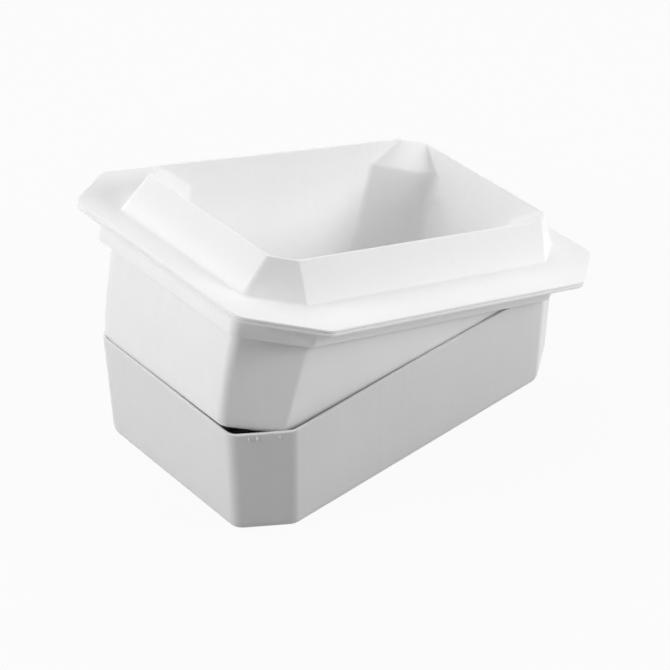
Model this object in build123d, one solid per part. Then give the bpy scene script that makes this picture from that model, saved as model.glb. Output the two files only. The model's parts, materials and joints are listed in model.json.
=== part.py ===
"""Nested soap loaf mould: an outer case, a skirted tub and a pouring liner.

The case stands level. The tub, with the liner in it, is propped in the case: its left lower edge
stands on the case's left rim, and the case's right rim stands in the channel under the tub's
flange. Millimetres, +Z up. The origin is the middle of the case's flat underside, +X runs along
the length towards the low end of the propped tub, and +Y runs to the back.
"""
from build123d import *
import math
import os
from dataclasses import dataclass, replace

# Outer case
CASE_LENGTH = 200.0  # outside, at the rim
CASE_WIDTH = 124.4
CASE_HEIGHT = 58.6
CASE_WALL = 1.6
CASE_CORNER = 19.3  # mean leg of the corner flats at the rim
CASE_DRAFT_DEG = 1.2
CASE_EDGE_ROUND = 7.0  # upright edges, outside
CASE_BASE_ROUND = 6.0  # outside edge of the floor

# Every corner flat runs longer along the length than across it, by this ratio each way
CORNER_SLANT = 1.19

# Tub
TUB_WALL = 1.4
TUB_CORNER = 18.8
RIM_STANDOFF = 5.4  # between the tub's flange and the case's rim, when its floor stands on the case's
TUB_DRAFT_DEG = 2.0
TUB_EDGE_ROUND = 8.5
TUB_BASE_ROUND = 8.0
TUB_CLEARANCE = 1.6  # between the tub's body and the case's rim, when it sits level
SKIRT_CLEARANCE = 2.6  # between the skirt and the case's rim, when it sits level
SKIRT_WALL = 1.4
SKIRT_DROP = 12.2  # below the flange's underside
SKIRT_CORNER = 23.1

# Flanges, the tub's and the liner's, one on the other
FLANGE_END_REACH = 9.7  # beyond the skirt, at each end
FLANGE_SIDE_REACH = 12.5  # beyond the skirt, at each side
FLANGE_CORNER = 27.2
FLANGE_THICKNESS = 1.6
FLANGE_EDGE_ROUND = 0.55

# Liner
LINER_WALL = 1.4
RING_END_LEDGE = 14.5  # flange left bare outside the foot of the raised ring, at each end
RING_SIDE_LEDGE = 20.9
RING_CORNER = 19.0
RING_END_SLOPE = 10.4  # level run of the ring's outer slope, up to the ridge
RING_SIDE_SLOPE = 9.7
RIDGE_CORNER = 9.1
RIDGE_HEIGHT = 16.7  # above the flange
RIDGE_LAND = 1.5  # width of the ridge before its edges are rounded
RIDGE_ROUND = 0.6
RING_EDGE_ROUND = 1.2  # sloping edges of the raised ring
RING_CROWN_WALLS = 3.0  # thickness of the ring under its ridge, in liner walls
RING_SIDE_WALLS = 2.0  # level thickness of the ring's slope, in liner walls
MOUTH_END_RUN = 3.2  # level run from the ridge in to where the cavity wall starts
MOUTH_SIDE_RUN = 2.6
MOUTH_CORNER = 23.1
MOUTH_HEIGHT = 5.8  # above the flange
CAVITY_DRAFT_DEG = 3.0
CAVITY_BASE_ROUND = 5.0
LINER_FLOOR_GAP = 0.5  # between the liner's floor and the tub's
PLUG_DROP = 6.0  # rib under the liner's flange that centres it in the tub's mouth
PLUG_CLEARANCE = 0.3

# Clearance at each point where the propped tub bears on the case
BEARING_GAP = 0.3
RIM_ROUND = 0.45  # top edges of the case's rim and the lower edges of the skirt


@dataclass(frozen=True)
class Octagon:
    """A rectangle with flat corners: half lengths and the mean leg of a corner flat."""

    half_x: float
    half_y: float
    corner: float

    @property
    def leg_x(self):
        return self.corner * CORNER_SLANT

    @property
    def leg_y(self):
        return self.corner / CORNER_SLANT

    def grown(self, by):
        """The same outline moved out by a distance, square to each side and flat."""
        flat = math.hypot(self.leg_x, self.leg_y)
        leg_x = self.leg_x + by * (1 - (flat - self.leg_x) / self.leg_y)
        return Octagon(self.half_x + by, self.half_y + by, leg_x / CORNER_SLANT)

    def face(self, height):
        """The filled outline at a height."""
        x, y, leg_x, leg_y = self.half_x, self.half_y, self.leg_x, self.leg_y
        points = [
            (x, y - leg_y), (x - leg_x, y), (leg_x - x, y), (-x, y - leg_y),
            (-x, leg_y - y), (leg_x - x, -y), (x - leg_x, -y), (x, leg_y - y),
        ]
        return Plane.XY.offset(height) * make_face(Polyline(*points, close=True))


def stepped(shape, end, side, corner):
    """An outline that stands out from another by its own distance at the ends and the sides."""
    return Octagon(shape.half_x + end, shape.half_y + side, corner)


def taper(drop, draft_deg):
    """How far a drafted wall moves in over a drop."""
    return drop * math.tan(math.radians(draft_deg))


def frustum(lower, low, upper, high):
    """A solid with flat sides between two outlines."""
    return loft([lower.face(low), upper.face(high)], ruled=True)


def upright_edges(solid):
    """The edges that run between the lower and the upper outline."""
    return solid.edges().filter_by(lambda edge: abs((edge % 0.5).Z) > 0.5)


def edges_at(solid, height):
    """The edges that lie at one height."""
    return solid.edges().filter_by(
        lambda edge: all(abs(vertex.Z - height) < 1e-4 for vertex in edge.vertices())
    )


def rounded_pot(lower, low, upper, high, edge_round, base_round):
    """A drafted block with rounded upright edges and a rounded lower edge."""
    block = frustum(lower, low, upper, high)
    block = fillet(upright_edges(block), edge_round)
    return fillet(edges_at(block, low), base_round)


def plate(shape, low, high):
    """A slab with one outline."""
    return extrude(shape.face(low), high - low)


# Heights of the propped unit, measured from the top of the liner's flange
tub_depth = CASE_HEIGHT - CASE_WALL + RIM_STANDOFF
tub_flange_top = -FLANGE_THICKNESS
tub_flange_low = tub_flange_top - FLANGE_THICKNESS
tub_base = tub_flange_low - tub_depth
tub_floor = tub_base + TUB_WALL

case_rim = Octagon(CASE_LENGTH / 2, CASE_WIDTH / 2, CASE_CORNER)
tub_mouth = replace(case_rim.grown(-CASE_WALL - TUB_CLEARANCE), corner=TUB_CORNER)
skirt_outline = replace(case_rim.grown(SKIRT_CLEARANCE + SKIRT_WALL), corner=SKIRT_CORNER)
flange_outline = stepped(skirt_outline, FLANGE_END_REACH, FLANGE_SIDE_REACH, FLANGE_CORNER)


def make_case():
    """The open box that stands on the bench."""
    base = case_rim.grown(-taper(CASE_HEIGHT, CASE_DRAFT_DEG))
    outside = rounded_pot(base, 0, case_rim, CASE_HEIGHT, CASE_EDGE_ROUND, CASE_BASE_ROUND)
    inside = rounded_pot(
        base.grown(-CASE_WALL + taper(CASE_WALL, CASE_DRAFT_DEG)), CASE_WALL,
        case_rim.grown(-CASE_WALL), CASE_HEIGHT,
        CASE_EDGE_ROUND - CASE_WALL, CASE_BASE_ROUND - CASE_WALL,
    )
    case = outside - inside
    return fillet(edges_at(case, CASE_HEIGHT), RIM_ROUND)


def make_tub():
    """The tub with its flange and its skirt, level, under the liner's flange."""
    foot = tub_mouth.grown(-taper(tub_depth, TUB_DRAFT_DEG))
    body = rounded_pot(
        foot, tub_base, tub_mouth, tub_flange_low, TUB_EDGE_ROUND, TUB_BASE_ROUND
    )
    flange = plate(flange_outline, tub_flange_low, tub_flange_top)
    flange = fillet(upright_edges(flange), TUB_EDGE_ROUND)
    flange = fillet(edges_at(flange, tub_flange_low), FLANGE_EDGE_ROUND)
    flange = fillet(edges_at(flange, tub_flange_top), FLANGE_EDGE_ROUND)
    skirt_low = tub_flange_low - SKIRT_DROP
    skirt = fillet(upright_edges(plate(skirt_outline, skirt_low, tub_flange_low)), TUB_EDGE_ROUND)
    channel = plate(skirt_outline.grown(-SKIRT_WALL), skirt_low, tub_flange_low)
    skirt -= fillet(upright_edges(channel), TUB_EDGE_ROUND - SKIRT_WALL)
    skirt = fillet(edges_at(skirt, skirt_low), RIM_ROUND)
    hollow = rounded_pot(
        foot.grown(-TUB_WALL + taper(TUB_WALL, TUB_DRAFT_DEG)), tub_floor,
        tub_mouth.grown(-TUB_WALL + taper(FLANGE_THICKNESS, TUB_DRAFT_DEG)), tub_flange_top,
        TUB_EDGE_ROUND - TUB_WALL, TUB_BASE_ROUND - TUB_WALL,
    )
    return body + flange + skirt - hollow


def make_liner():
    """The pouring liner, level, with the top of its flange at height 0."""
    ring_foot = stepped(flange_outline, -RING_END_LEDGE, -RING_SIDE_LEDGE, RING_CORNER)
    ridge = stepped(ring_foot, -RING_END_SLOPE, -RING_SIDE_SLOPE, RIDGE_CORNER)
    mouth = stepped(ridge, -MOUTH_END_RUN, -MOUTH_SIDE_RUN, MOUTH_CORNER)
    inner_ridge = ridge.grown(-RIDGE_LAND)
    liner_base = tub_floor + LINER_FLOOR_GAP
    cavity_floor = liner_base + LINER_WALL
    cavity_foot = mouth.grown(-taper(MOUTH_HEIGHT - cavity_floor, CAVITY_DRAFT_DEG))

    flange = plate(flange_outline, -FLANGE_THICKNESS, 0)
    flange = fillet(upright_edges(flange), TUB_EDGE_ROUND)
    flange = fillet(edges_at(flange, 0), FLANGE_EDGE_ROUND)
    flange = fillet(edges_at(flange, -FLANGE_THICKNESS), FLANGE_EDGE_ROUND)
    plug_outline = tub_mouth.grown(-TUB_WALL - PLUG_CLEARANCE)
    plug_low = -FLANGE_THICKNESS - PLUG_DROP
    plug = plate(plug_outline, plug_low, -FLANGE_THICKNESS)
    plug = fillet(upright_edges(plug), TUB_EDGE_ROUND - TUB_WALL)
    plug_hollow = plug_outline.grown(-LINER_WALL)
    hollow_top = RIDGE_HEIGHT - RING_CROWN_WALLS * LINER_WALL

    ring = frustum(ring_foot, 0, ridge, RIDGE_HEIGHT)
    ring = fillet(upright_edges(ring), RING_EDGE_ROUND)
    still_out = (ring_foot.half_x - ridge.half_x) * (1 - hollow_top / RIDGE_HEIGHT)
    hollow_peak = ridge.grown(still_out - RING_SIDE_WALLS * LINER_WALL)
    under_ring = frustum(plug_hollow, plug_low, hollow_peak, hollow_top)
    cup = frustum(cavity_foot.grown(LINER_WALL), liner_base, mouth.grown(LINER_WALL), MOUTH_HEIGHT)
    cup = fillet(edges_at(cup, liner_base), CAVITY_BASE_ROUND + LINER_WALL)
    ridge_middle = ridge.grown(-RIDGE_LAND / 2)
    cup += frustum(mouth.grown(LINER_WALL), MOUTH_HEIGHT, ridge_middle, RIDGE_HEIGHT)
    cavity = frustum(cavity_foot, cavity_floor, mouth, MOUTH_HEIGHT)
    cavity = fillet(edges_at(cavity, cavity_floor), CAVITY_BASE_ROUND)
    throat = frustum(mouth, MOUTH_HEIGHT, inner_ridge, RIDGE_HEIGHT)
    liner = (flange + plug + ring - under_ring) + cup - cavity - throat
    return fillet(edges_at(liner, RIDGE_HEIGHT), RIDGE_ROUND)


def bearings(tilt):
    """Where the propped unit stands at a tilt, and the gap left at the case's left rim.

    The case's right rim sets both coordinates: its outer top edge is under the flange and its
    inner top edge is beside the tub's wall, each with the bearing gap.
    """
    sine, cosine = math.sin(tilt), math.cos(tilt)
    draft = math.radians(TUB_DRAFT_DEG)
    rim_z = tub_flange_low - BEARING_GAP
    inner_z = rim_z - CASE_WALL * sine
    wall_x = tub_mouth.half_x - (tub_flange_low - inner_z) * math.tan(draft)
    rim_x = wall_x + BEARING_GAP / math.cos(draft) + CASE_WALL * cosine
    place_x = case_rim.half_x - (cosine * rim_x + sine * rim_z)
    place_z = CASE_HEIGHT - (cosine * rim_z - sine * rim_x)
    foot_x = tub_mouth.half_x - taper(tub_depth, TUB_DRAFT_DEG)
    round_x = -foot_x + TUB_BASE_ROUND * (1 / math.cos(draft) - math.tan(draft))
    round_z = tub_base + TUB_BASE_ROUND
    centre_x = place_x + cosine * round_x + sine * round_z
    centre_z = place_z - sine * round_x + cosine * round_z
    rim_left = min(max(centre_x, -case_rim.half_x), -case_rim.half_x + CASE_WALL)
    above_rim = max(centre_z - CASE_HEIGHT, 0)
    reach = math.hypot(centre_x - rim_left, above_rim) if above_rim else 0
    return place_x, place_z, reach - TUB_BASE_ROUND


def propped_tilt():
    """The tilt at which the tub's left lower edge bears on the case's left rim."""
    low, high = math.radians(1), math.radians(40)
    for _ in range(60):
        middle = (low + high) / 2
        if bearings(middle)[2] < BEARING_GAP:
            low = middle
        else:
            high = middle
    return high


tilt = propped_tilt()
propped_x, propped_z, left_gap = bearings(tilt)
propped = Location((propped_x, 0, propped_z), (0, math.degrees(tilt), 0))

pieces = {
    "outer_case": make_case(),
    "mould_tub": propped * make_tub(),
    "pouring_liner": propped * make_liner(),
}

os.makedirs("parts", exist_ok=True)
for name, piece in pieces.items():
    export_step(piece, f"parts/{name}.step")
print(f"tilt {math.degrees(tilt):.3f} degrees, propped at x {propped_x:.3f}, z {propped_z:.3f}")
print(f"gap at the left rim {left_gap:.3f}, lift direction of the liner"
      f" ({math.sin(tilt):.6f}, 0, {math.cos(tilt):.6f})")
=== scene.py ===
"""Looks of a nested soap loaf mould: an outer case, a skirted tub and a pouring liner.

Everything is in metres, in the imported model's frame. The case stands level. The tub and the liner
are drawn level in their own frame, whose height 0 is the top of the liner's flange, and are then
leaned as the model's liner joint leans.
"""
import json
import logging
import math
from dataclasses import dataclass, field
from enum import Enum
from typing import Callable, Sequence

import bmesh
import bpy
from mathutils import Matrix, Vector


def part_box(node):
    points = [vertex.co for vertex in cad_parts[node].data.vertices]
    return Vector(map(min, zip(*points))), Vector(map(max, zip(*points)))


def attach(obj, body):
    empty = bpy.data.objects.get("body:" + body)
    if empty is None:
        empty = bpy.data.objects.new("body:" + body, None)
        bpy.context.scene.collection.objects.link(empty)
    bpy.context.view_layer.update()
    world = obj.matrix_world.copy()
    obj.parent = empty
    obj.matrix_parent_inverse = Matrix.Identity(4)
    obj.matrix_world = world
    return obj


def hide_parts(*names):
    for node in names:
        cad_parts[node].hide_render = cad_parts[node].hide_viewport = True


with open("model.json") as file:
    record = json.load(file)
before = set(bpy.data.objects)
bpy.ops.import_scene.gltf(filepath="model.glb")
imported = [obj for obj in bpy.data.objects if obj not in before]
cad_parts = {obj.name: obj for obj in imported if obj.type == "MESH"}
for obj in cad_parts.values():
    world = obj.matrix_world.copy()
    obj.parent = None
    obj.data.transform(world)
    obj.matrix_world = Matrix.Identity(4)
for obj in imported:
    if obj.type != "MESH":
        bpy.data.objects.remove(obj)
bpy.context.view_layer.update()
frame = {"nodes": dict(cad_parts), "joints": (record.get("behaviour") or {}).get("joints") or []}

log = logging.getLogger("soap_mould")

MM = 0.001
CORNER_SLANT = 1.19  # a corner flat runs longer along the length than across it, by this each way
FLOOR_CLEAR = 0.2 * MM  # the studio floor lies this far under the case
LEAST_TURN = 0.3 * MM  # no upright edge is sharper than this
ARC_ROOM = 0.48  # the most of a side that the arc at one end of it takes
BEND_ROOM = 0.49  # the most of a section's run that the rounding at one end of it takes
EDGE_STEPS = 6  # steps round an upright edge
WELD = 1e-6  # vertices nearer than this become one
EVEN_WEIGHT = 100  # shades a face's corners wholly by the larger faces beside them

CASE_NODE, TUB_NODE, LINER_NODE = "outer_case", "mould_tub", "pouring_liner"


class Body(Enum):
    """The CAD bodies that a piece can ride on."""

    CASE = "case"
    TUB = "tub"
    LINER = "liner"


class Slot(Enum):
    """The record's material slots."""

    CASE = "case_plastic"
    TUB = "tub_plastic"
    LINER = "liner_plastic"


# ---------------------------------------------------------------------------------------------
# Outlines and walls
# ---------------------------------------------------------------------------------------------


@dataclass(frozen=True)
class Ring:
    """One level outline of a moulding: a rectangle with flat corners whose edges are rounded.

    Attributes:
        half_x: half the length, between the end faces.
        half_y: half the width, between the side faces.
        corner: mean leg of a corner flat.
        turn: radius of the upright edges beside a corner flat.
        height: the outline's height.
    """

    half_x: float
    half_y: float
    corner: float
    turn: float
    height: float

    def grown(self, by: float, rise: float = 0.0, turn: float | None = None) -> "Ring":
        """Moves the outline out, square to each face.

        Args:
            by: distance outwards, negative for inwards.
            rise: change of height.
            turn: the new edge radius, or None to grow it with the outline.

        Returns:
            The new outline.
        """
        leg_x, leg_y = self.legs()
        leg = leg_x + by * (1 - (math.hypot(leg_x, leg_y) - leg_x) / leg_y)
        radius = max(self.turn + by, LEAST_TURN) if turn is None else turn
        half_x, half_y = self.half_x + by, self.half_y + by
        return Ring(half_x, half_y, leg / CORNER_SLANT, radius, self.height + rise)

    def mixed(self, other: "Ring", share: float) -> "Ring":
        """The outline at a share of the way to another one."""
        pairs = zip(self.values(), other.values())
        return Ring(*(a + (b - a) * share for a, b in pairs))

    def values(self) -> tuple[float, ...]:
        """The five numbers in order."""
        return self.half_x, self.half_y, self.corner, self.turn, self.height

    def reach(self, other: "Ring") -> float:
        """Distance to another outline, measured down the middle of the wall."""
        return math.hypot(self.half_x - other.half_x, self.height - other.height)

    def legs(self) -> tuple[float, float]:
        """A corner flat's legs, along the length and across it."""
        return self.corner * CORNER_SLANT, self.corner / CORNER_SLANT

    def vertices(self) -> list[Vector]:
        """The outline's eight vertices before their rounding.

        Returns:
            The vertices at the outline's height, anticlockwise from the back of the right end.
        """
        x, y = self.half_x, self.half_y
        leg_x, leg_y = self.legs()
        half = [(x, y - leg_y), (x - leg_x, y), (leg_x - x, y), (-x, y - leg_y)]
        whole = half + [(-px, -py) for px, py in half]
        return [Vector((px, py, self.height)) for px, py in whole]

    def points(self, grain: "Grain") -> list[Vector]:
        """The outline's points, anticlockwise from the right end.

        Args:
            grain: how many points each stretch gets.

        Returns:
            The points, the same number for every outline of the same grain.
        """
        vertices = self.vertices()
        points: list[Vector] = []
        for index, vertex in enumerate(vertices):
            before, after = vertices[index - 1], vertices[(index + 1) % len(vertices)]
            arc = rounded_vertex(before, vertex, after, self.turn, grain.arc)
            if points:
                points += between(points[-1], arc[0], grain.side(index))
            points += arc
        return points + between(points[-1], points[0], grain.side(0))


@dataclass(frozen=True)
class Grain:
    """How finely an outline is divided.

    Attributes:
        arc: steps round each edge.
        flat: points within a corner flat.
        end: points within an end face.
        long: points within a side face.
    """

    arc: int = EDGE_STEPS
    flat: int = 5
    end: int = 17
    long: int = 29

    def side(self, index: int) -> int:
        """Points within the stretch that ends at a vertex, counted from the right end's back."""
        return (self.end, self.flat, self.long, self.flat)[index % 4]


def between(start: Vector, end: Vector, count: int) -> list[Vector]:
    """Evenly spaced points strictly between two others."""
    return [start.lerp(end, (step + 1) / (count + 1)) for step in range(count)]


def rounded_vertex(
    before: Vector, vertex: Vector, after: Vector, radius: float, steps: int
) -> list[Vector]:
    """The arc that replaces a corner of an outline.

    Args:
        before: the vertex before.
        vertex: the corner.
        after: the vertex after.
        radius: the arc's radius.
        steps: the number of steps along it.

    Returns:
        The arc's points, in order.
    """
    back, ahead = (before - vertex).normalized(), (after - vertex).normalized()
    half_angle = back.angle(ahead) / 2
    room = ARC_ROOM * min((before - vertex).length, (after - vertex).length)
    tangent = min(radius / math.tan(half_angle), room)
    true_radius = tangent * math.tan(half_angle)
    centre = vertex + (back + ahead).normalized() * (true_radius / math.sin(half_angle))
    first, last = vertex + back * tangent - centre, vertex + ahead * tangent - centre
    sweep = first.angle(last)
    turns = [Matrix.Rotation(sweep * step / steps, 3, "Z") for step in range(steps + 1)]
    return [centre + turn @ first for turn in turns]


@dataclass(frozen=True)
class Bend:
    """A corner of a wall's section.

    Attributes:
        ring: the outline through it.
        reach: how far its rounding reaches each way.
    """

    ring: Ring
    reach: float = 0.0


def section_rings(bends: Sequence[Bend], steps: int = 5, span: float = 7 * MM) -> list[Ring]:
    """Rounds a section's corners and divides its long straight runs.

    Args:
        bends: the section's corners, from one end of the skin to the other.
        steps: steps round each corner.
        span: the longest straight run left undivided.

    Returns:
        The outlines in order.
    """
    corners: list[list[Ring]] = []
    for index, bend in enumerate(bends):
        if bend.reach <= 0 or index in (0, len(bends) - 1):
            corners.append([bend.ring])
            continue
        before, after = bends[index - 1].ring, bends[index + 1].ring
        start = bend.ring.mixed(before, min(bend.reach / bend.ring.reach(before), BEND_ROOM))
        end = bend.ring.mixed(after, min(bend.reach / bend.ring.reach(after), BEND_ROOM))
        shares = [step / steps for step in range(steps + 1)]
        corners.append(
            [start.mixed(bend.ring, t).mixed(bend.ring.mixed(end, t), t) for t in shares]
        )
    rings = [corners[0][0]]
    for corner in corners:
        run = rings[-1].reach(corner[0])
        cuts = int(run // span)
        rings += [rings[-1].mixed(corner[0], (cut + 1) / (cuts + 1)) for cut in range(cuts)]
        rings += corner if corner is not corners[0] else []
    return rings


def skin(name: str, bends: Sequence[Bend], grain: Grain = Grain()) -> bpy.types.Object:
    """Makes a closed moulding from its section.

    Args:
        name: the piece's name.
        bends: the section, from the middle of one face of its floor to the other.
        grain: how finely each outline is divided.

    Returns:
        The level piece.
    """
    mesh = bmesh.new()
    loops = [[mesh.verts.new(p) for p in ring.points(grain)] for ring in section_rings(bends)]
    for low, high in zip(loops, loops[1:]):
        join(mesh, low, high)
    for loop in (loops[0], loops[-1]):
        cap(mesh, loop)
    bmesh.ops.recalc_face_normals(mesh, faces=mesh.faces[:])
    return finished(name, mesh)


def join(
    mesh: bmesh.types.BMesh, low: list[bmesh.types.BMVert], high: list[bmesh.types.BMVert]
) -> None:
    """Spans two loops of vertices with a row of faces.

    Args:
        mesh: the mesh to add to.
        low: the first loop.
        high: the second loop, with as many vertices.
    """
    for i in range(len(low)):
        j = (i + 1) % len(low)
        mesh.faces.new((low[i], low[j], high[j], high[i]))


def cap(mesh: bmesh.types.BMesh, loop: list[bmesh.types.BMVert], rows: int = 4) -> None:
    """Closes a loop with rows of faces that shrink to its middle.

    Args:
        mesh: the mesh to add to.
        loop: the vertices round the opening.
        rows: how many rows of faces reach the middle.
    """
    middle = sum((v.co for v in loop), Vector()) / len(loop)
    outer = loop
    for row in range(1, rows):
        inner = [mesh.verts.new(v.co.lerp(middle, row / rows)) for v in loop]
        join(mesh, outer, inner)
        outer = inner
    centre = mesh.verts.new(middle)
    for here, ahead in zip(outer, outer[1:] + outer[:1]):
        mesh.faces.new((here, ahead, centre))


def finished(name: str, mesh: bmesh.types.BMesh) -> bpy.types.Object:
    """Turns a bmesh into a smooth-shaded object.

    Args:
        name: the object's name.
        mesh: the bmesh, which is used up.

    Returns:
        The object, at the origin.
    """
    data = bpy.data.meshes.new(name)
    mesh.to_mesh(data)
    mesh.free()
    data.shade_smooth()
    piece = bpy.data.objects.new(name, data)
    bpy.context.scene.collection.objects.link(piece)
    return piece


def settle_normals(piece: bpy.types.Object) -> None:
    """Keeps flat faces flat beside their rounded edges.

    Args:
        piece: the piece that gets the modifier.
    """
    modifier = piece.modifiers.new("even_normals", "WEIGHTED_NORMAL")
    modifier.weight = EVEN_WEIGHT
    modifier.keep_sharp = True


def bulge(piece: bpy.types.Object, push: Callable[[Vector], Vector]) -> None:
    """Moves each vertex of a piece by what a rule says of its place."""
    for vertex in piece.data.vertices:
        vertex.co += push(vertex.co)


# ---------------------------------------------------------------------------------------------
# Finishes
# ---------------------------------------------------------------------------------------------


@dataclass(frozen=True)
class Pattern:
    """A noise pattern of a moulded surface.

    Attributes:
        scale: how many of its features lie in a metre.
        detail: how many finer layers it has.
        roughness: how strong those layers are.
    """

    scale: float
    detail: float
    roughness: float


MOTTLE = Pattern(26.0, 3.0, 0.55)  # slow changes of shade and gloss
STREAKS = Pattern(1.0, 4.0, 0.6)  # marks left as a wall leaves its mould, on stretched coordinates
STREAK_STRETCH = (240.0, 240.0, 9.0)  # how many streaks lie in a metre each way
SPECK = Pattern(700.0, 2.0, 0.5)  # fine specks
WAVES = Pattern(38.0, 1.0, 0.4)  # slow waves that cooling leaves
NOISE_RANGE = (0.3, 0.7)  # where most of a pattern's values lie
EDGE_RANGE = (0.52, 0.62)  # how pointed a rounded edge is, from its start to its sharpest


@dataclass(frozen=True)
class MouldedPlastic:
    """White injection-moulded plastic.

    Attributes:
        name: the material's name.
        shade: how light it is, from 0 to 1.
        roughness: mean roughness.
        etching: the mould's etched texture.
        etch_depth: depth of that texture, and of the streaks.
        wave_depth: depth of the slow waves.
        shade_spreads: how far the mottle, the streaks and the specks move the shade.
        gloss_spreads: how far the mottle and the streaks move the roughness.
        edge_highlight_and_wear_lift: how much lighter the thin edges are painted, a painted
            highlight that is partly wear.
        ior: index of refraction.
        specular: strength of the sheen.
    """

    name: str
    shade: float
    roughness: float
    etching: Pattern
    etch_depth: float = 0.03 * MM
    wave_depth: float = 0.2 * MM
    shade_spreads: tuple[float, float, float] = (0.012, 0.009, 0.006)
    gloss_spreads: tuple[float, float] = (0.05, 0.04)
    # strength of the painted highlight on thin edges, partly wear
    edge_highlight_and_wear_lift: float = 0.02
    ior: float = 1.46
    specular: float = 0.35

    def build(self) -> bpy.types.Material:
        """Makes the material.

        Returns:
            The node material.
        """
        material = bpy.data.materials.new(self.name)
        material.use_nodes = True
        tree = material.node_tree
        shader = tree.nodes["Principled BSDF"]
        shader.inputs["IOR"].default_value = self.ior
        shader.inputs["Specular IOR Level"].default_value = self.specular
        place = tree.nodes.new("ShaderNodeTexCoord").outputs["Object"]
        mottle = self.noise(tree, place, MOTTLE)
        streaks = self.noise(tree, self.stretched(tree, place), STREAKS)
        speck = self.noise(tree, place, SPECK)

        # the shade sum starts with the painted highlight on thin edges, which is partly wear
        shade = self.painted_edge_highlight_and_wear(tree)
        for pattern, spread in zip((mottle, streaks, speck), self.shade_spreads):
            shade = self.summed(tree, shade, self.varied(tree, pattern, 0.0, spread))
        shade = self.summed(tree, shade, self.shade)
        colour = tree.nodes.new("ShaderNodeCombineColor")
        for channel in ("Red", "Green", "Blue"):
            tree.links.new(shade, colour.inputs[channel])
        tree.links.new(colour.outputs["Color"], shader.inputs["Base Color"])

        mottle_spread, streak_spread = self.gloss_spreads
        rough = self.varied(tree, mottle, self.roughness, mottle_spread)
        rough = self.summed(tree, rough, self.varied(tree, streaks, 0.0, streak_spread))
        tree.links.new(rough, shader.inputs["Roughness"])

        broad = self.bump(tree, self.noise(tree, place, WAVES), self.wave_depth, None)
        lined = self.bump(tree, streaks, self.etch_depth, broad)
        fine = self.bump(tree, self.noise(tree, place, self.etching), self.etch_depth, lined)
        tree.links.new(fine, shader.inputs["Normal"])
        return material

    def noise(
        self, tree: bpy.types.NodeTree, place: bpy.types.NodeSocket, pattern: Pattern
    ) -> bpy.types.NodeSocket:
        """Adds a noise pattern.

        Args:
            tree: the material's tree.
            place: the coordinates that the pattern lies on.
            pattern: the pattern's numbers.

        Returns:
            The socket of the pattern's value.
        """
        node = tree.nodes.new("ShaderNodeTexNoise")
        node.inputs["Scale"].default_value = pattern.scale
        node.inputs["Detail"].default_value = pattern.detail
        node.inputs["Roughness"].default_value = pattern.roughness
        tree.links.new(place, node.inputs["Vector"])
        return node.outputs["Fac"]

    def stretched(
        self, tree: bpy.types.NodeTree, place: bpy.types.NodeSocket
    ) -> bpy.types.NodeSocket:
        """Draws coordinates out along the height.

        Args:
            tree: the material's tree.
            place: the piece's own coordinates.

        Returns:
            The socket of the drawn-out coordinates.
        """
        node = tree.nodes.new("ShaderNodeMapping")
        node.inputs["Scale"].default_value = STREAK_STRETCH
        tree.links.new(place, node.inputs["Vector"])
        return node.outputs["Vector"]

    def ranged(
        self,
        tree: bpy.types.NodeTree,
        value: bpy.types.NodeSocket,
        source: tuple[float, float],
        target: tuple[float, float],
    ) -> bpy.types.NodeSocket:
        """Maps a value from one range to another.

        Args:
            tree: the material's tree.
            value: the value's socket.
            source: the lowest and highest value that count.
            target: what they become.

        Returns:
            The socket of the result.
        """
        node = tree.nodes.new("ShaderNodeMapRange")
        for label, number in zip(("From Min", "From Max", "To Min", "To Max"), source + target):
            node.inputs[label].default_value = number
        tree.links.new(value, node.inputs["Value"])
        return node.outputs["Result"]

    def varied(
        self, tree: bpy.types.NodeTree, pattern: bpy.types.NodeSocket, middle: float, spread: float
    ) -> bpy.types.NodeSocket:
        """A pattern's value, carried to a spread each way from a middle."""
        return self.ranged(tree, pattern, NOISE_RANGE, (middle - spread, middle + spread))

    def summed(
        self,
        tree: bpy.types.NodeTree,
        first: bpy.types.NodeSocket,
        second: bpy.types.NodeSocket | float,
    ) -> bpy.types.NodeSocket:
        """Adds a socket or a number to a socket.

        Args:
            tree: the material's tree.
            first: the socket.
            second: the other socket, or the number.

        Returns:
            The socket of the sum.
        """
        node = tree.nodes.new("ShaderNodeMath")
        node.operation = "ADD"
        tree.links.new(first, node.inputs[0])
        if isinstance(second, float):
            node.inputs[1].default_value = second
        else:
            tree.links.new(second, node.inputs[1])
        return node.outputs[0]

    def painted_edge_highlight_and_wear(self, tree: bpy.types.NodeTree) -> bpy.types.NodeSocket:
        """A painted highlight on thin edges, for light they let through; partly polish from
        handling.
        """
        geometry = tree.nodes.new("ShaderNodeNewGeometry")
        return self.ranged(tree, geometry.outputs["Pointiness"], EDGE_RANGE, (0.0, self.edge_highlight_and_wear_lift))

    def bump(
        self,
        tree: bpy.types.NodeTree,
        height: bpy.types.NodeSocket,
        depth: float,
        under: bpy.types.NodeSocket | None,
    ) -> bpy.types.NodeSocket:
        """Adds a bump, alone or over another one.

        Args:
            tree: the material's tree.
            height: the pattern that it follows.
            depth: its depth.
            under: the normal of the bump that it lies on, or None.

        Returns:
            The socket of its normal.
        """
        node = tree.nodes.new("ShaderNodeBump")
        node.inputs["Distance"].default_value = depth
        tree.links.new(height, node.inputs["Height"])
        if under is not None:
            tree.links.new(under, node.inputs["Normal"])
        return node.outputs["Normal"]


SATIN = Pattern(1500.0, 2.0, 0.5)  # the etching of the case's and the tub's moulds
MATTE = Pattern(1700.0, 2.0, 0.5)  # the etching of the liner's mould
FINISHES = {
    Slot.CASE: MouldedPlastic("satin_case_plastic", shade=0.80, roughness=0.46, etching=SATIN),
    Slot.TUB: MouldedPlastic("satin_tub_plastic", shade=0.92, roughness=0.48, etching=SATIN),
    Slot.LINER: MouldedPlastic("matte_liner_plastic", shade=0.95, roughness=0.52, etching=MATTE),
}


# ---------------------------------------------------------------------------------------------
# What Geometry Nodes make: a wall that follows an outline, and nibs along a line
# ---------------------------------------------------------------------------------------------


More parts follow.
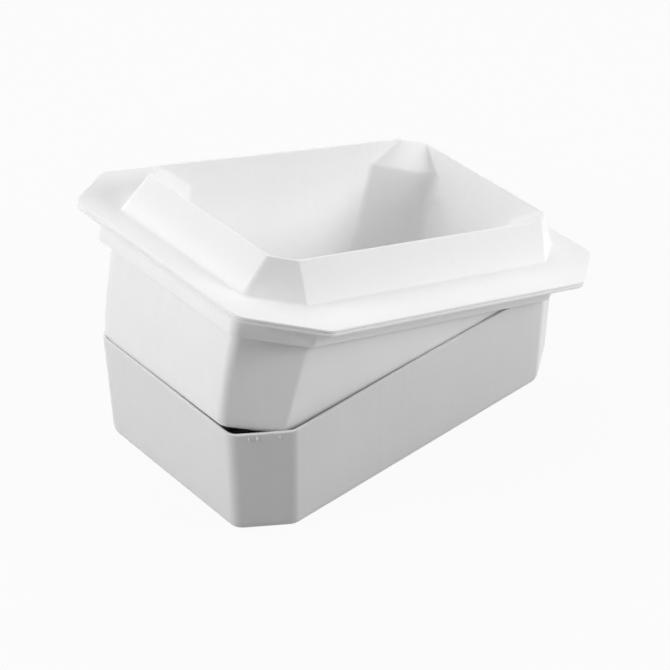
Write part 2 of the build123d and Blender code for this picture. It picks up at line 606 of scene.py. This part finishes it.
def open_tree(name: str, inputs: dict[str, str]) -> tuple[bpy.types.NodeTree, bpy.types.Node]:
    """Starts a Geometry Nodes tree.

    Args:
        name: the tree's name.
        inputs: the name and the socket type of each input after the geometry.

    Returns:
        The tree and the node that gives its inputs.
    """
    tree = bpy.data.node_groups.new(name, "GeometryNodeTree")
    tree.interface.new_socket("Geometry", in_out="INPUT", socket_type="NodeSocketGeometry")
    for label, kind in inputs.items():
        tree.interface.new_socket(label, in_out="INPUT", socket_type=kind)
    tree.interface.new_socket("Geometry", in_out="OUTPUT", socket_type="NodeSocketGeometry")
    return tree, tree.nodes.new("NodeGroupInput")


def close_tree(
    tree: bpy.types.NodeTree, shape: bpy.types.NodeSocket, material: bpy.types.Material
) -> None:
    """Ends a tree in real geometry that has its finish.

    Args:
        tree: the tree.
        shape: the geometry made so far.
        material: the finish.
    """
    realize = tree.nodes.new("GeometryNodeRealizeInstances")
    finish = tree.nodes.new("GeometryNodeSetMaterial")
    finish.inputs["Material"].default_value = material
    out = tree.nodes.new("NodeGroupOutput")
    tree.links.new(shape, realize.inputs["Geometry"])
    tree.links.new(realize.outputs["Geometry"], finish.inputs["Geometry"])
    tree.links.new(finish.outputs["Geometry"], out.inputs["Geometry"])


@dataclass
class SweptWall:
    """A wall of one section that runs round an outline.

    Attributes:
        name: the piece's name.
        ring: the outline of the wall's middle, at the wall's mid height.
        wall: the wall's thickness.
        drop: the wall's height.
        round_off: radius of the section's corners.
        section_steps: steps round each of those corners.
    """

    name: str
    ring: Ring
    wall: float
    drop: float
    round_off: float
    section_steps: int = 4

    def sizes(self) -> dict[str, float]:
        """The wall's sizes, under the names of the tree's inputs."""
        return {
            "Wall": self.wall,
            "Drop": self.drop,
            "Section Round": self.round_off,
            "Edge Round": self.ring.turn,
        }

    def path(self) -> bpy.types.Object:
        """Draws the outline.

        Returns:
            A loop of eight edges.
        """
        mesh = bmesh.new()
        verts = [mesh.verts.new(vertex) for vertex in self.ring.vertices()]
        for here, ahead in zip(verts, verts[1:] + verts[:1]):
            mesh.edges.new((here, ahead))
        return finished(self.name, mesh)

    def tree(self, material: bpy.types.Material) -> bpy.types.NodeTree:
        """Builds the node tree that sweeps the section round the outline.

        Args:
            material: the wall's finish.

        Returns:
            The tree, with its sizes as named inputs.
        """
        inputs = {label: "NodeSocketFloat" for label in self.sizes()}
        tree, sizes = open_tree(self.name + "_sweep", inputs)
        to_curve = tree.nodes.new("GeometryNodeMeshToCurve")
        edges = tree.nodes.new("GeometryNodeFilletCurve")
        section = tree.nodes.new("GeometryNodeCurvePrimitiveQuadrilateral")
        corners = tree.nodes.new("GeometryNodeFilletCurve")
        for fillet, steps in ((edges, EDGE_STEPS), (corners, self.section_steps)):
            fillet.mode = "POLY"
            fillet.inputs["Count"].default_value = steps
        sweep = tree.nodes.new("GeometryNodeCurveToMesh")
        link = tree.links.new
        link(sizes.outputs["Geometry"], to_curve.inputs["Mesh"])
        link(to_curve.outputs["Curve"], edges.inputs["Curve"])
        link(sizes.outputs["Edge Round"], edges.inputs["Radius"])
        link(sizes.outputs["Wall"], section.inputs["Width"])
        link(sizes.outputs["Drop"], section.inputs["Height"])
        link(section.outputs["Curve"], corners.inputs["Curve"])
        link(sizes.outputs["Section Round"], corners.inputs["Radius"])
        link(edges.outputs["Curve"], sweep.inputs["Curve"])
        link(corners.outputs["Curve"], sweep.inputs["Profile Curve"])
        close_tree(tree, sweep.outputs["Mesh"], material)
        return tree

    def build(self, material: bpy.types.Material) -> bpy.types.Object:
        """Makes the wall as a plain mesh.

        Args:
            material: the wall's finish.

        Returns:
            The level piece.
        """
        piece = self.path()
        modifier = piece.modifiers.new("sweep", "NODES")
        modifier.node_group = self.tree(material)
        feed(modifier, self.sizes())
        return baked(piece, material)


@dataclass
class FlashNibs:
    """Small raised runs of flash that the trimming left on a wall.

    Attributes:
        name: the piece's name.
        start: one end of the line that they lie on, on the wall's face.
        end: the other end.
        places: where along the line each of them lies, from 0 to 1.
        width: the largest nib's size across the wall.
        height: its size up the wall.
        proud: how far it stands off the wall.
        smallest: the smallest nib's size, as a share of the largest one's.
        smoothness: how often a nib's faces are divided.
        seed: of the random part of their size.
    """

    name: str
    start: Vector
    end: Vector
    places: tuple[float, ...]
    width: float = 0.8 * MM
    height: float = 2.6 * MM
    proud: float = 0.6 * MM
    smallest: float = 0.6
    smoothness: int = 3
    seed: int = 5

    def spots(self) -> bpy.types.Object:
        """Marks where the nibs lie.

        Returns:
            One vertex for each nib, on the wall.
        """
        mesh = bmesh.new()
        for place in self.places:
            mesh.verts.new(self.start.lerp(self.end, place))
        return finished(self.name, mesh)

    def tree(self, material: bpy.types.Material) -> bpy.types.NodeTree:
        """Builds the node tree that lays a nib on each spot.

        Args:
            material: the wall's finish.

        Returns:
            The tree, with the nibs' size and heading as named inputs.
        """
        inputs = {
            "Nib Size": "NodeSocketVector",
            "Heading": "NodeSocketFloat",
            "Seed": "NodeSocketInt",
        }
        tree, sizes = open_tree(self.name + "_lay", inputs)
        points = tree.nodes.new("GeometryNodeMeshToPoints")
        nib = tree.nodes.new("GeometryNodeMeshIcoSphere")
        nib.inputs["Radius"].default_value = 0.5  # one across, so that Nib Size is its size
        nib.inputs["Subdivisions"].default_value = self.smoothness
        vary = tree.nodes.new("FunctionNodeRandomValue")
        vary.data_type = "FLOAT"
        shares = {socket.name: socket for socket in vary.inputs if socket.enabled}
        shares["Min"].default_value = self.smallest
        shares["Max"].default_value = 1.0
        scale = tree.nodes.new("ShaderNodeVectorMath")
        scale.operation = "SCALE"
        turn = tree.nodes.new("ShaderNodeCombineXYZ")
        lay = tree.nodes.new("GeometryNodeInstanceOnPoints")
        link = tree.links.new
        link(sizes.outputs["Geometry"], points.inputs["Mesh"])
        link(points.outputs["Points"], lay.inputs["Points"])
        link(nib.outputs["Mesh"], lay.inputs["Instance"])
        link(sizes.outputs["Seed"], shares["Seed"])
        link(sizes.outputs["Nib Size"], scale.inputs[0])
        link(next(o for o in vary.outputs if o.enabled), scale.inputs["Scale"])
        link(scale.outputs["Vector"], lay.inputs["Scale"])
        link(sizes.outputs["Heading"], turn.inputs["Z"])
        link(turn.outputs["Vector"], lay.inputs["Rotation"])
        close_tree(tree, lay.outputs["Instances"], material)
        return tree

    def build(self, material: bpy.types.Material) -> bpy.types.Object:
        """Makes the nibs as a plain mesh.

        Args:
            material: the wall's finish.

        Returns:
            The piece.
        """
        piece = self.spots()
        modifier = piece.modifiers.new("lay", "NODES")
        modifier.node_group = self.tree(material)
        along = self.end - self.start
        size = (self.width, 2 * self.proud, self.height)
        heading = math.atan2(along.y, along.x)
        feed(modifier, {"Nib Size": size, "Heading": heading, "Seed": self.seed})
        return baked(piece, material)


def feed(modifier: bpy.types.Modifier, settings: dict[str, object]) -> None:
    """Sets a node modifier's inputs by their sockets' identifiers.

    Args:
        modifier: the modifier, before its object is first evaluated.
        settings: each input's name and value.
    """
    for item in modifier.node_group.interface.items_tree:
        if item.in_out == "INPUT" and item.name in settings:
            modifier[item.identifier] = settings[item.name]


def baked(piece: bpy.types.Object, material: bpy.types.Material) -> bpy.types.Object:
    """Replaces a piece's node modifier by the plain mesh that it makes.

    Args:
        piece: the piece with one node modifier.
        material: the finish of its only slot.

    Returns:
        The same object with the finished mesh.
    """
    graph = bpy.context.evaluated_depsgraph_get()
    made = bpy.data.meshes.new_from_object(piece.evaluated_get(graph))
    piece.modifiers.clear()
    piece.data = made
    mesh = bmesh.new()
    mesh.from_mesh(made)
    bmesh.ops.remove_doubles(mesh, verts=mesh.verts[:], dist=WELD)
    bmesh.ops.recalc_face_normals(mesh, faces=mesh.faces[:])
    mesh.to_mesh(made)
    mesh.free()
    made.shade_smooth()
    made.materials.clear()
    made.materials.append(material)
    return piece


# ---------------------------------------------------------------------------------------------
# The pieces
# ---------------------------------------------------------------------------------------------


def dress(piece: bpy.types.Object, body: Body, material: bpy.types.Material) -> None:
    """Gives a piece its finish, its body and its slot, and reports it.

    Args:
        piece: the finished piece.
        body: the body that it rides on.
        material: the slot's finish.
    """
    if not piece.data.materials:
        piece.data.materials.append(material)
    settle_normals(piece)
    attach(piece, body.value)
    log.info("%s: %d faces", piece.name, len(piece.data.polygons))


@dataclass
class OuterCase:
    """The open box that stands on the bench.

    Attributes:
        wall: wall and floor thickness.
        corner: mean leg of the rim's corner flats.
        draft: how much each side moves in from rim to floor.
        turn: radius of the upright edges.
        base_round: radius of the floor's outside edge.
        rim_round: radius of the rim's edges.
        rim_dip: how far the rim sinks at the front left corner, where the thin wall has sprung.
        dip_reach: how far from that corner the dip fades.
        wave_height: height of the slow wave that the rim follows.
        wave_runs: length and width that the wave takes for one radian.
        wave_start: where the wave starts along the length, in radians.
        wave_shares: how much of the wave the rim follows, and how much less it rises than sinks.
        rise_power: how late up the wall the dip and the wave start.
        nib_places: where the flash lies along the corner flat, from 0 to 1.
        nib_drop: how far under the rim it lies.
    """

    wall: float = 1.6 * MM
    corner: float = 19.3 * MM
    draft: float = 1.23 * MM
    turn: float = 7 * MM
    base_round: float = 6 * MM
    rim_round: float = 0.75 * MM
    rim_dip: float = 0.9 * MM
    dip_reach: float = 60 * MM
    wave_height: float = 0.25 * MM
    wave_runs: tuple[float, float] = (23 * MM, 31 * MM)
    wave_start: float = 0.7
    wave_shares: tuple[float, float] = (0.3, 0.2)
    rise_power: int = 3
    nib_places: tuple[float, ...] = (0.29, 0.42, 0.765)
    nib_drop: float = 3.6 * MM

    def rim(self) -> Ring:
        """The rim's outside outline."""
        low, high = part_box(CASE_NODE)
        return Ring((high.x - low.x) / 2, (high.y - low.y) / 2, self.corner, self.turn, high.z)

    def section(self) -> list[Bend]:
        """Draws the wall's section.

        Returns:
            Its corners, from the middle of the floor's top to the middle of the underside.
        """
        rim = self.rim()
        foot = rim.grown(-self.draft, -rim.height, self.turn)
        inner_rim = rim.grown(-self.wall)
        inner_foot = foot.grown(-self.wall, self.wall)
        inner_round = self.base_round - self.wall
        return [
            Bend(inner_foot.grown(-2 * self.base_round)),
            Bend(inner_foot, inner_round),
            Bend(inner_rim, self.rim_round),
            Bend(rim, self.rim_round),
            Bend(foot, self.base_round),
            Bend(foot.grown(-2 * self.base_round)),
        ]

    def spring(self, spot: Vector, rim: Ring) -> Vector:
        """How the thin wall has sprung from its true shape at a point.

        Args:
            spot: a point of the true shape.
            rim: the rim's outline.

        Returns:
            The shift there.
        """
        rise = max(spot.z / rim.height, 0.0) ** self.rise_power
        from_corner = math.hypot(spot.x + rim.half_x, spot.y + rim.half_y) / self.dip_reach
        dip = self.rim_dip * math.exp(-from_corner**2)
        run_x, run_y = self.wave_runs
        phase = spot.x / run_x + self.wave_start
        wave = self.wave_height * math.sin(phase) * math.sin(spot.y / run_y)
        share, held_back = self.wave_shares
        return Vector((0, 0, -rise * (dip + wave * share) + min(0.0, wave) * rise * held_back))

    def build(self, material: bpy.types.Material) -> None:
        """Makes the case in place of its CAD node.

        Args:
            material: the case's finish.
        """
        piece = skin("case_shell", self.section())
        rim = self.rim()
        bulge(piece, lambda spot: self.spring(spot, rim))
        nibs = self.nibs(rim).build(material)
        for made in (piece, nibs):
            dress(made, Body.CASE, material)
        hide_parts(CASE_NODE)

    def nibs(self, rim: Ring) -> FlashNibs:
        """Lays out the flash under the rim on the front left corner flat.

        Args:
            rim: the rim's outline.

        Returns:
            The nibs, to be built.
        """
        share = self.nib_drop / rim.height
        level = rim.grown(-self.draft * share, -self.nib_drop)
        leg_x, leg_y = level.legs()
        left = Vector((-level.half_x, leg_y - level.half_y, level.height))
        right = Vector((leg_x - level.half_x, -level.half_y, level.height))
        return FlashNibs("case_flash_nibs", left, right, self.nib_places)


@dataclass
class Lean:
    """How the tub and the liner lean, read from the model.

    Attributes:
        ridge_height: height of the liner's ridge over its flange.
    """

    ridge_height: float = 16.7 * MM

    def matrix(self) -> Matrix:
        """Reads where the pair stands.

        Returns:
            What carries a level piece, with the liner's flange at height 0, to where it leans.
        """
        joint = next(j for j in frame["joints"] if j["child"] == Body.LINER.value)
        turn = Matrix.Rotation(math.atan2(joint["axis"][0], joint["axis"][2]), 4, "Y")
        level = [turn.inverted() @ v.co for v in frame["nodes"][LINER_NODE].data.vertices]
        middle = (min(p.x for p in level) + max(p.x for p in level)) / 2
        flange = max(p.z for p in level) - self.ridge_height
        return turn @ Matrix.Translation((middle, 0, flange))

    def flange(self) -> tuple[float, float]:
        """Measures the flanges.

        Returns:
            Half their length and half their width.
        """
        back = self.matrix().inverted()
        level = [back @ v.co for v in frame["nodes"][LINER_NODE].data.vertices]
        return max(p.x for p in level), max(p.y for p in level)


@dataclass
class Flange:
    """What the tub's and the liner's flanges share.

    Attributes:
        lean: where the pair leans.
        corner: mean leg of the corner flats.
        turn: radius of the upright edges.
        thickness: of one flange.
        edge_round: radius of the outer edge.
    """

    lean: Lean
    corner: float = 27.2 * MM
    turn: float = 8.5 * MM
    thickness: float = 1.6 * MM
    edge_round: float = 0.55 * MM

    def ring(self, height: float) -> Ring:
        """The outer outline at a height."""
        half_x, half_y = self.lean.flange()
        return Ring(half_x, half_y, self.corner, self.turn, height)


@dataclass
class MouldTub:
    """The tub that hangs in the case, with its flange and its skirt.

    Attributes:
        flange: the flange's sizes.
        mouth_half: half length and half width of the body, outside, under the flange.
        corner: mean leg of the body's corner flats.
        wall: wall and floor thickness.
        depth: from the flange's underside to the floor's underside.
        draft: how much each side moves in over that depth.
        turn: radius of the upright edges.
        base_round: radius of the floor's outside edge.
        skirt_half: half length and half width of the skirt, outside.
        skirt_corner: mean leg of the skirt's corner flats.
        skirt_drop: how far the skirt reaches below the flange.
        skirt_tuck: how far it runs up into the flange.
        skirt_round: radius of its section's corners.
        inner_round: reach of the rounding inside the mouth.
        neck_round: reach of the rounding where the body meets the flange.
        end_bow: how far the raised end's wall bows out between its top and its foot.
        end_lean: how far that wall stands out at its top.
        skirt_lean: how far the skirt stands out at that end.
        side_bow: how far the side walls bow out.
        bow_foot: depth under the liner's flange where the bow ends.
        bow_edge: the share of the body's half sizes past which nothing bows.
        fade_power: how fast a bow dies away from its own wall.
    """

    flange: Flange
    mouth_half: tuple[float, float] = (96.8 * MM, 60.2 * MM)
    corner: float = 20.23 * MM
    wall: float = 1.4 * MM
    depth: float = 62.4 * MM
    draft: float = 2.179 * MM
    turn: float = 6 * MM
    base_round: float = 8 * MM
    skirt_half: tuple[float, float] = (104 * MM, 66.2 * MM)
    skirt_corner: float = 23.1 * MM
    skirt_drop: float = 12.2 * MM
    skirt_tuck: float = 0.4 * MM
    skirt_round: float = 0.4 * MM
    inner_round: float = 0.4 * MM
    neck_round: float = 0.8 * MM
    end_bow: float = 2.0 * MM
    end_lean: float = 2.8 * MM
    skirt_lean: float = 1.2 * MM
    side_bow: float = 0.9 * MM
    bow_foot: float = 60 * MM
    bow_edge: float = 1.01
    fade_power: int = 6

    def bow(self, spot: Vector) -> Vector:
        """How far the thin walls bow out at a point of the level tub.

        Args:
            spot: a point of the true shape.

        Returns:
            The shift there: at the raised end, and at both sides away from their corners.
        """
        share = -spot.z / self.bow_foot
        along, across = spot.x / self.mouth_half[0], spot.y / self.mouth_half[1]
        if share > 1.0 or max(abs(along), abs(across)) > self.bow_edge:
            return Vector()
        swell = math.sin(math.pi * share)
        at_end = max(0.0, -along) ** self.fade_power
        at_side = across ** (self.fade_power - 1) * abs(across) * max(0.0, 1 - along**2)
        out_end = self.end_bow * swell + self.end_lean * (1 - share)
        return Vector((-out_end * at_end, self.side_bow * swell * at_side, 0))

    def skirt_shift(self, spot: Vector) -> Vector:
        """How far the skirt stands out at the raised end, at a point of the level skirt."""
        at_end = max(0.0, -spot.x / self.skirt_half[0]) ** self.fade_power
        return Vector((-self.skirt_lean * at_end, 0, 0))

    def section(self) -> list[Bend]:
        """Draws the tub's section without its skirt.

        Returns:
            Its corners, from the middle of the floor's top to the middle of the underside.
        """
        top = -self.flange.thickness
        low = top - self.flange.thickness
        mouth = Ring(*self.mouth_half, self.corner, self.turn, low)
        foot = mouth.grown(-self.draft, -self.depth, self.turn)
        inner_foot = foot.grown(-self.wall, self.wall)
        inner_mouth = mouth.grown(-self.wall, top - low)
        edge_top, edge_low = self.flange.ring(top), self.flange.ring(low)
        return [
            Bend(inner_foot.grown(-2 * self.base_round)),
            Bend(inner_foot, self.base_round - self.wall),
            Bend(inner_mouth, self.inner_round),
            Bend(edge_top, self.flange.edge_round),
            Bend(edge_low, self.flange.edge_round),
            Bend(mouth, self.neck_round),
            Bend(foot, self.base_round),
            Bend(foot.grown(-2 * self.base_round)),
        ]

    def skirt(self) -> SweptWall:
        """Lays out the wall under the flange that laps the case's rim.

        Returns:
            The wall, to be built.
        """
        low = -2 * self.flange.thickness
        outside = Ring(*self.skirt_half, self.skirt_corner, self.turn, low)
        middle = outside.grown(-self.wall / 2, (self.skirt_tuck - self.skirt_drop) / 2)
        drop = self.skirt_drop + self.skirt_tuck
        return SweptWall("tub_skirt", middle, self.wall, drop, self.skirt_round)

    def build(self, material: bpy.types.Material) -> None:
        """Makes the tub in place of its CAD node.

        Args:
            material: the tub's finish.
        """
        place = self.flange.lean.matrix()
        body = skin("tub_shell", self.section())
        skirt = self.skirt().build(material)
        for piece, push in ((body, self.bow), (skirt, self.skirt_shift)):
            bulge(piece, push)
            piece.data.transform(place)
            dress(piece, Body.TUB, material)
        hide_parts(TUB_NODE)


@dataclass
class PouringLiner:
    """The liner: a flange, a raised ridge round the mouth, and the cavity.

    Attributes:
        flange: the flange's sizes.
        wall: wall thickness.
        ring_foot: half length, half width, corner leg and edge radius of the raised ring's foot.
        ridge: the same, along the ring's outer top edge.
        mouth: the same, where the ring's inner slope meets the cavity wall.
        rib: the same, of the rib under the flange that centres the liner.
        mouth_height: height of the mouth over the flange.
        cavity_floor: height of the cavity's floor.
        cavity_draft: how much each cavity wall moves in from the mouth to the floor.
        cavity_turn: radius of the cavity's upright edges at its floor.
        base_round: radius of the cavity's floor edge.
        rib_drop: how far the rib reaches below the flange.
        ridge_width: width of the ring's flat top.
        ridge_turn: radius of the upright edges inside that top.
        hollow: how far in, how far down and with what edge radius the ring's hollow peaks.
        soft_round: reach of the rounding at the mouth and at the ring's foot.
        ridge_rounds: the same, inside and outside the ring's top.
        hollow_round: the same, in the hollow's peak.
        rib_round: the same, on the rib.
    """

    flange: Flange
    wall: float = 1.4 * MM
    ring_foot: tuple[float, ...] = (99.2 * MM, 57.8 * MM, 19.0 * MM, 3.4 * MM)
    ridge: tuple[float, ...] = (88.8 * MM, 48.1 * MM, 9.1 * MM, 2.4 * MM)
    mouth: tuple[float, ...] = (85.6 * MM, 45.5 * MM, 23.1 * MM, 6 * MM)
    rib: tuple[float, ...] = (95.1 * MM, 57.3 * MM, 17.8 * MM, 7 * MM)
    mouth_height: float = 5.8 * MM
    cavity_floor: float = -62.3 * MM
    cavity_draft: float = 3.569 * MM
    cavity_turn: float = 8 * MM
    base_round: float = 5 * MM
    rib_drop: float = 6 * MM
    ridge_width: float = 1.2 * MM
    ridge_turn: float = 2.0 * MM
    hollow: tuple[float, float, float] = (1.6 * MM, 4.2 * MM, 1.2 * MM)
    soft_round: float = 1.0 * MM
    ridge_rounds: tuple[float, float] = (0.5 * MM, 0.6 * MM)
    hollow_round: float = 0.8 * MM
    rib_round: float = 0.4 * MM

    def section(self) -> list[Bend]:
        """Draws the liner's section.

        Returns:
            Its corners, from the middle of the cavity's floor to the middle of the underside.
        """
        under = -self.flange.thickness
        mouth = Ring(*self.mouth, self.mouth_height)
        sink = self.cavity_floor - self.mouth_height
        inner_foot = mouth.grown(-self.cavity_draft, sink, self.cavity_turn)
        ridge = Ring(*self.ridge, self.flange.lean.ridge_height)
        inner_ridge = ridge.grown(-self.ridge_width, 0.0, self.ridge_turn)
        ring_foot = Ring(*self.ring_foot, 0.0)
        edge_top, edge_low = self.flange.ring(0.0), self.flange.ring(under)
        rib = Ring(*self.rib, under)
        rib_low = rib.grown(0, -self.rib_drop)
        hollow_in, hollow_down, hollow_turn = self.hollow
        hollow = ridge.grown(-hollow_in, -hollow_down, hollow_turn)
        outer_foot = inner_foot.grown(self.wall, -self.wall)
        inside, outside = self.ridge_rounds
        return [
            Bend(inner_foot.grown(-2 * self.base_round)),
            Bend(inner_foot, self.base_round),
            Bend(mouth, self.soft_round),
            Bend(inner_ridge, inside),
            Bend(ridge, outside),
            Bend(ring_foot, self.soft_round),
            Bend(edge_top, self.flange.edge_round),
            Bend(edge_low, self.flange.edge_round),
            Bend(rib, self.rib_round),
            Bend(rib_low, self.rib_round),
            Bend(rib_low.grown(-self.wall), self.rib_round),
            Bend(hollow, self.hollow_round),
            Bend(mouth.grown(self.wall), self.soft_round),
            Bend(outer_foot, self.base_round + self.wall),
            Bend(outer_foot.grown(-2 * self.base_round)),
        ]

    def build(self, material: bpy.types.Material) -> None:
        """Makes the liner in place of its CAD node.

        Args:
            material: the liner's finish.
        """
        piece = skin("liner_shell", self.section())
        piece.data.transform(self.flange.lean.matrix())
        dress(piece, Body.LINER, material)
        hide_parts(LINER_NODE)


# ---------------------------------------------------------------------------------------------
# The studio
# ---------------------------------------------------------------------------------------------


@dataclass(frozen=True)
class SoftBox:
    """A square studio lamp.

    Attributes:
        name: the lamp's name.
        azimuth: where it stands, in degrees from the front, towards the right.
        elevation: its height, in degrees over the horizon.
        size: its side.
        power: in watts.
        distance: from the object.
    """

    name: str
    azimuth: float
    elevation: float
    size: float
    power: float
    distance: float = 1.4

    def build(self, aim: Vector) -> None:
        """Hangs the lamp and turns it to the object.

        Args:
            aim: the point that it faces.
        """
        lamp = bpy.data.lights.new(self.name, "AREA")
        lamp.size = self.size
        lamp.energy = self.power
        holder = bpy.data.objects.new(self.name, lamp)
        way = direction(self.azimuth, self.elevation)
        holder.location = aim + way * self.distance
        holder.rotation_euler = way.to_track_quat("Z", "Y").to_euler()
        bpy.context.scene.collection.objects.link(holder)


def direction(azimuth: float, elevation: float) -> Vector:
    """The way from the object to something at an azimuth and an elevation, in degrees."""
    a, e = math.radians(azimuth), math.radians(elevation)
    return Vector((math.sin(a) * math.cos(e), -math.cos(a) * math.cos(e), math.sin(e)))


@dataclass
class Studio:
    """The floor, the lamps, the world and the camera.

    Attributes:
        aim: the point that the camera faces.
        azimuth: the camera's place, in degrees from the front, towards the right.
        elevation: its height, in degrees.
        distance: from the aim.
        lens: focal length, in mm.
        sensor: the sensor's width, in mm.
        roll: turn of the picture, in degrees.
        ambient: strength of the light that comes from all round.
        floor_radius: radius of the floor.
        floor_sides: how many sides its outline has.
        floor_shade: how light the floor is to the light, from 0 to 1.
        floor_glow: how much of it looks plain white to the camera, from 0 to 1.
        lamps: the lamps.
    """

    aim: Vector = field(default_factory=lambda: Vector((0.0006, 0.0, 0.0338)))
    azimuth: float = -41.34
    elevation: float = 37.91
    distance: float = 0.9735
    lens: float = 110.7
    sensor: float = 36.0
    roll: float = -0.17
    ambient: float = 0.01
    floor_radius: float = 6.0
    floor_sides: int = 96
    floor_shade: float = 0.5
    floor_glow: float = 0.94
    lamps: tuple[SoftBox, ...] = (
        SoftBox("left_high", azimuth=-126.0, elevation=48.0, size=0.8, power=3.2),
        SoftBox("left_low", azimuth=-108.0, elevation=26.0, size=0.7, power=11.2),
        SoftBox("right_low", azimuth=42.0, elevation=22.0, size=0.7, power=12.2),
        SoftBox("right_high", azimuth=78.0, elevation=50.0, size=0.8, power=3.1),
        SoftBox("back_high", azimuth=150.0, elevation=50.0, size=0.8, power=6.9),
    )

    def build(self) -> None:
        """Makes the whole studio."""
        self.build_floor()
        self.build_world()
        for lamp in self.lamps:
            lamp.build(self.aim)
        self.build_camera()
        bpy.context.scene.view_settings.view_transform = "Standard"

    def build_camera(self) -> None:
        """Sets the camera up at the viewing angle."""
        data = bpy.data.cameras.new("camera")
        data.lens = self.lens
        data.sensor_width = self.sensor
        camera = bpy.data.objects.new("camera", data)
        way = direction(self.azimuth, self.elevation)
        camera.location = self.aim + way * self.distance
        upright = way.to_track_quat("Z", "Y").to_matrix()
        turned = upright @ Matrix.Rotation(math.radians(self.roll), 3, "Z")
        camera.rotation_euler = turned.to_euler()
        bpy.context.scene.collection.objects.link(camera)
        bpy.context.scene.camera = camera

    def build_floor(self) -> None:
        """Lays a pale round floor under the case."""
        mesh = bmesh.new()
        bmesh.ops.create_circle(
            mesh, cap_ends=True, radius=self.floor_radius, segments=self.floor_sides
        )
        bmesh.ops.translate(mesh, verts=mesh.verts[:], vec=(0, 0, -FLOOR_CLEAR))
        floor = finished("studio_floor", mesh)
        floor.data.materials.append(self.floor_material())

    def floor_material(self) -> bpy.types.Material:
        """Makes a pale floor that looks white to the camera and still takes the object's shadow.

        Returns:
            The node material.
        """
        material = bpy.data.materials.new("studio_floor")
        material.use_nodes = True
        tree = material.node_tree
        tree.nodes.remove(tree.nodes["Principled BSDF"])
        matte = tree.nodes.new("ShaderNodeBsdfDiffuse")
        matte.inputs["Color"].default_value = (*[self.floor_shade] * 3, 1)
        glow = tree.nodes.new("ShaderNodeEmission")
        glow.inputs["Strength"].default_value = 1.0
        share = tree.nodes.new("ShaderNodeMath")
        share.operation = "MULTIPLY"
        share.inputs[1].default_value = self.floor_glow
        tree.links.new(seen_directly(tree), share.inputs[0])
        mix = tree.nodes.new("ShaderNodeMixShader")
        tree.links.new(share.outputs[0], mix.inputs["Fac"])
        tree.links.new(matte.outputs["BSDF"], mix.inputs[1])
        tree.links.new(glow.outputs["Emission"], mix.inputs[2])
        tree.links.new(mix.outputs["Shader"], tree.nodes["Material Output"].inputs["Surface"])
        return material

    def build_world(self) -> None:
        """A white backdrop to the camera and soft light from all round to the object."""
        world = bpy.data.worlds.new("studio")
        bpy.context.scene.world = world
        world.use_nodes = True
        tree = world.node_tree
        back = tree.nodes["Background"]
        back.inputs["Color"].default_value = (1, 1, 1, 1)
        strength = tree.nodes.new("ShaderNodeMapRange")
        strength.inputs["To Min"].default_value = self.ambient
        strength.inputs["To Max"].default_value = 1.0
        tree.links.new(seen_directly(tree), strength.inputs["Value"])
        tree.links.new(strength.outputs["Result"], back.inputs["Strength"])


def seen_directly(tree: bpy.types.NodeTree) -> bpy.types.NodeSocket:
    """Tells rays that end in the camera's picture from those that only light the object.

    Args:
        tree: the tree of the floor's material or of the world.

    Returns:
        A socket: 1 seen straight, in a reflection or through glass, and 0 otherwise.
    """
    path = tree.nodes.new("ShaderNodeLightPath")
    total = path.outputs["Is Camera Ray"]
    for name in ("Is Glossy Ray", "Is Transmission Ray"):
        node = tree.nodes.new("ShaderNodeMath")
        node.operation = "MAXIMUM"
        tree.links.new(total, node.inputs[0])
        tree.links.new(path.outputs[name], node.inputs[1])
        total = node.outputs[0]
    return total


def main() -> None:
    """Builds every piece and the studio."""
    logging.basicConfig(level=logging.INFO, format="%(name)s %(message)s")
    finishes = {slot: finish.build() for slot, finish in FINISHES.items()}
    OuterCase().build(finishes[Slot.CASE])
    flange = Flange(Lean())
    MouldTub(flange).build(finishes[Slot.TUB])
    PouringLiner(flange).build(finishes[Slot.LINER])
    Studio().build()


if __name__ == "__main__":
    main()
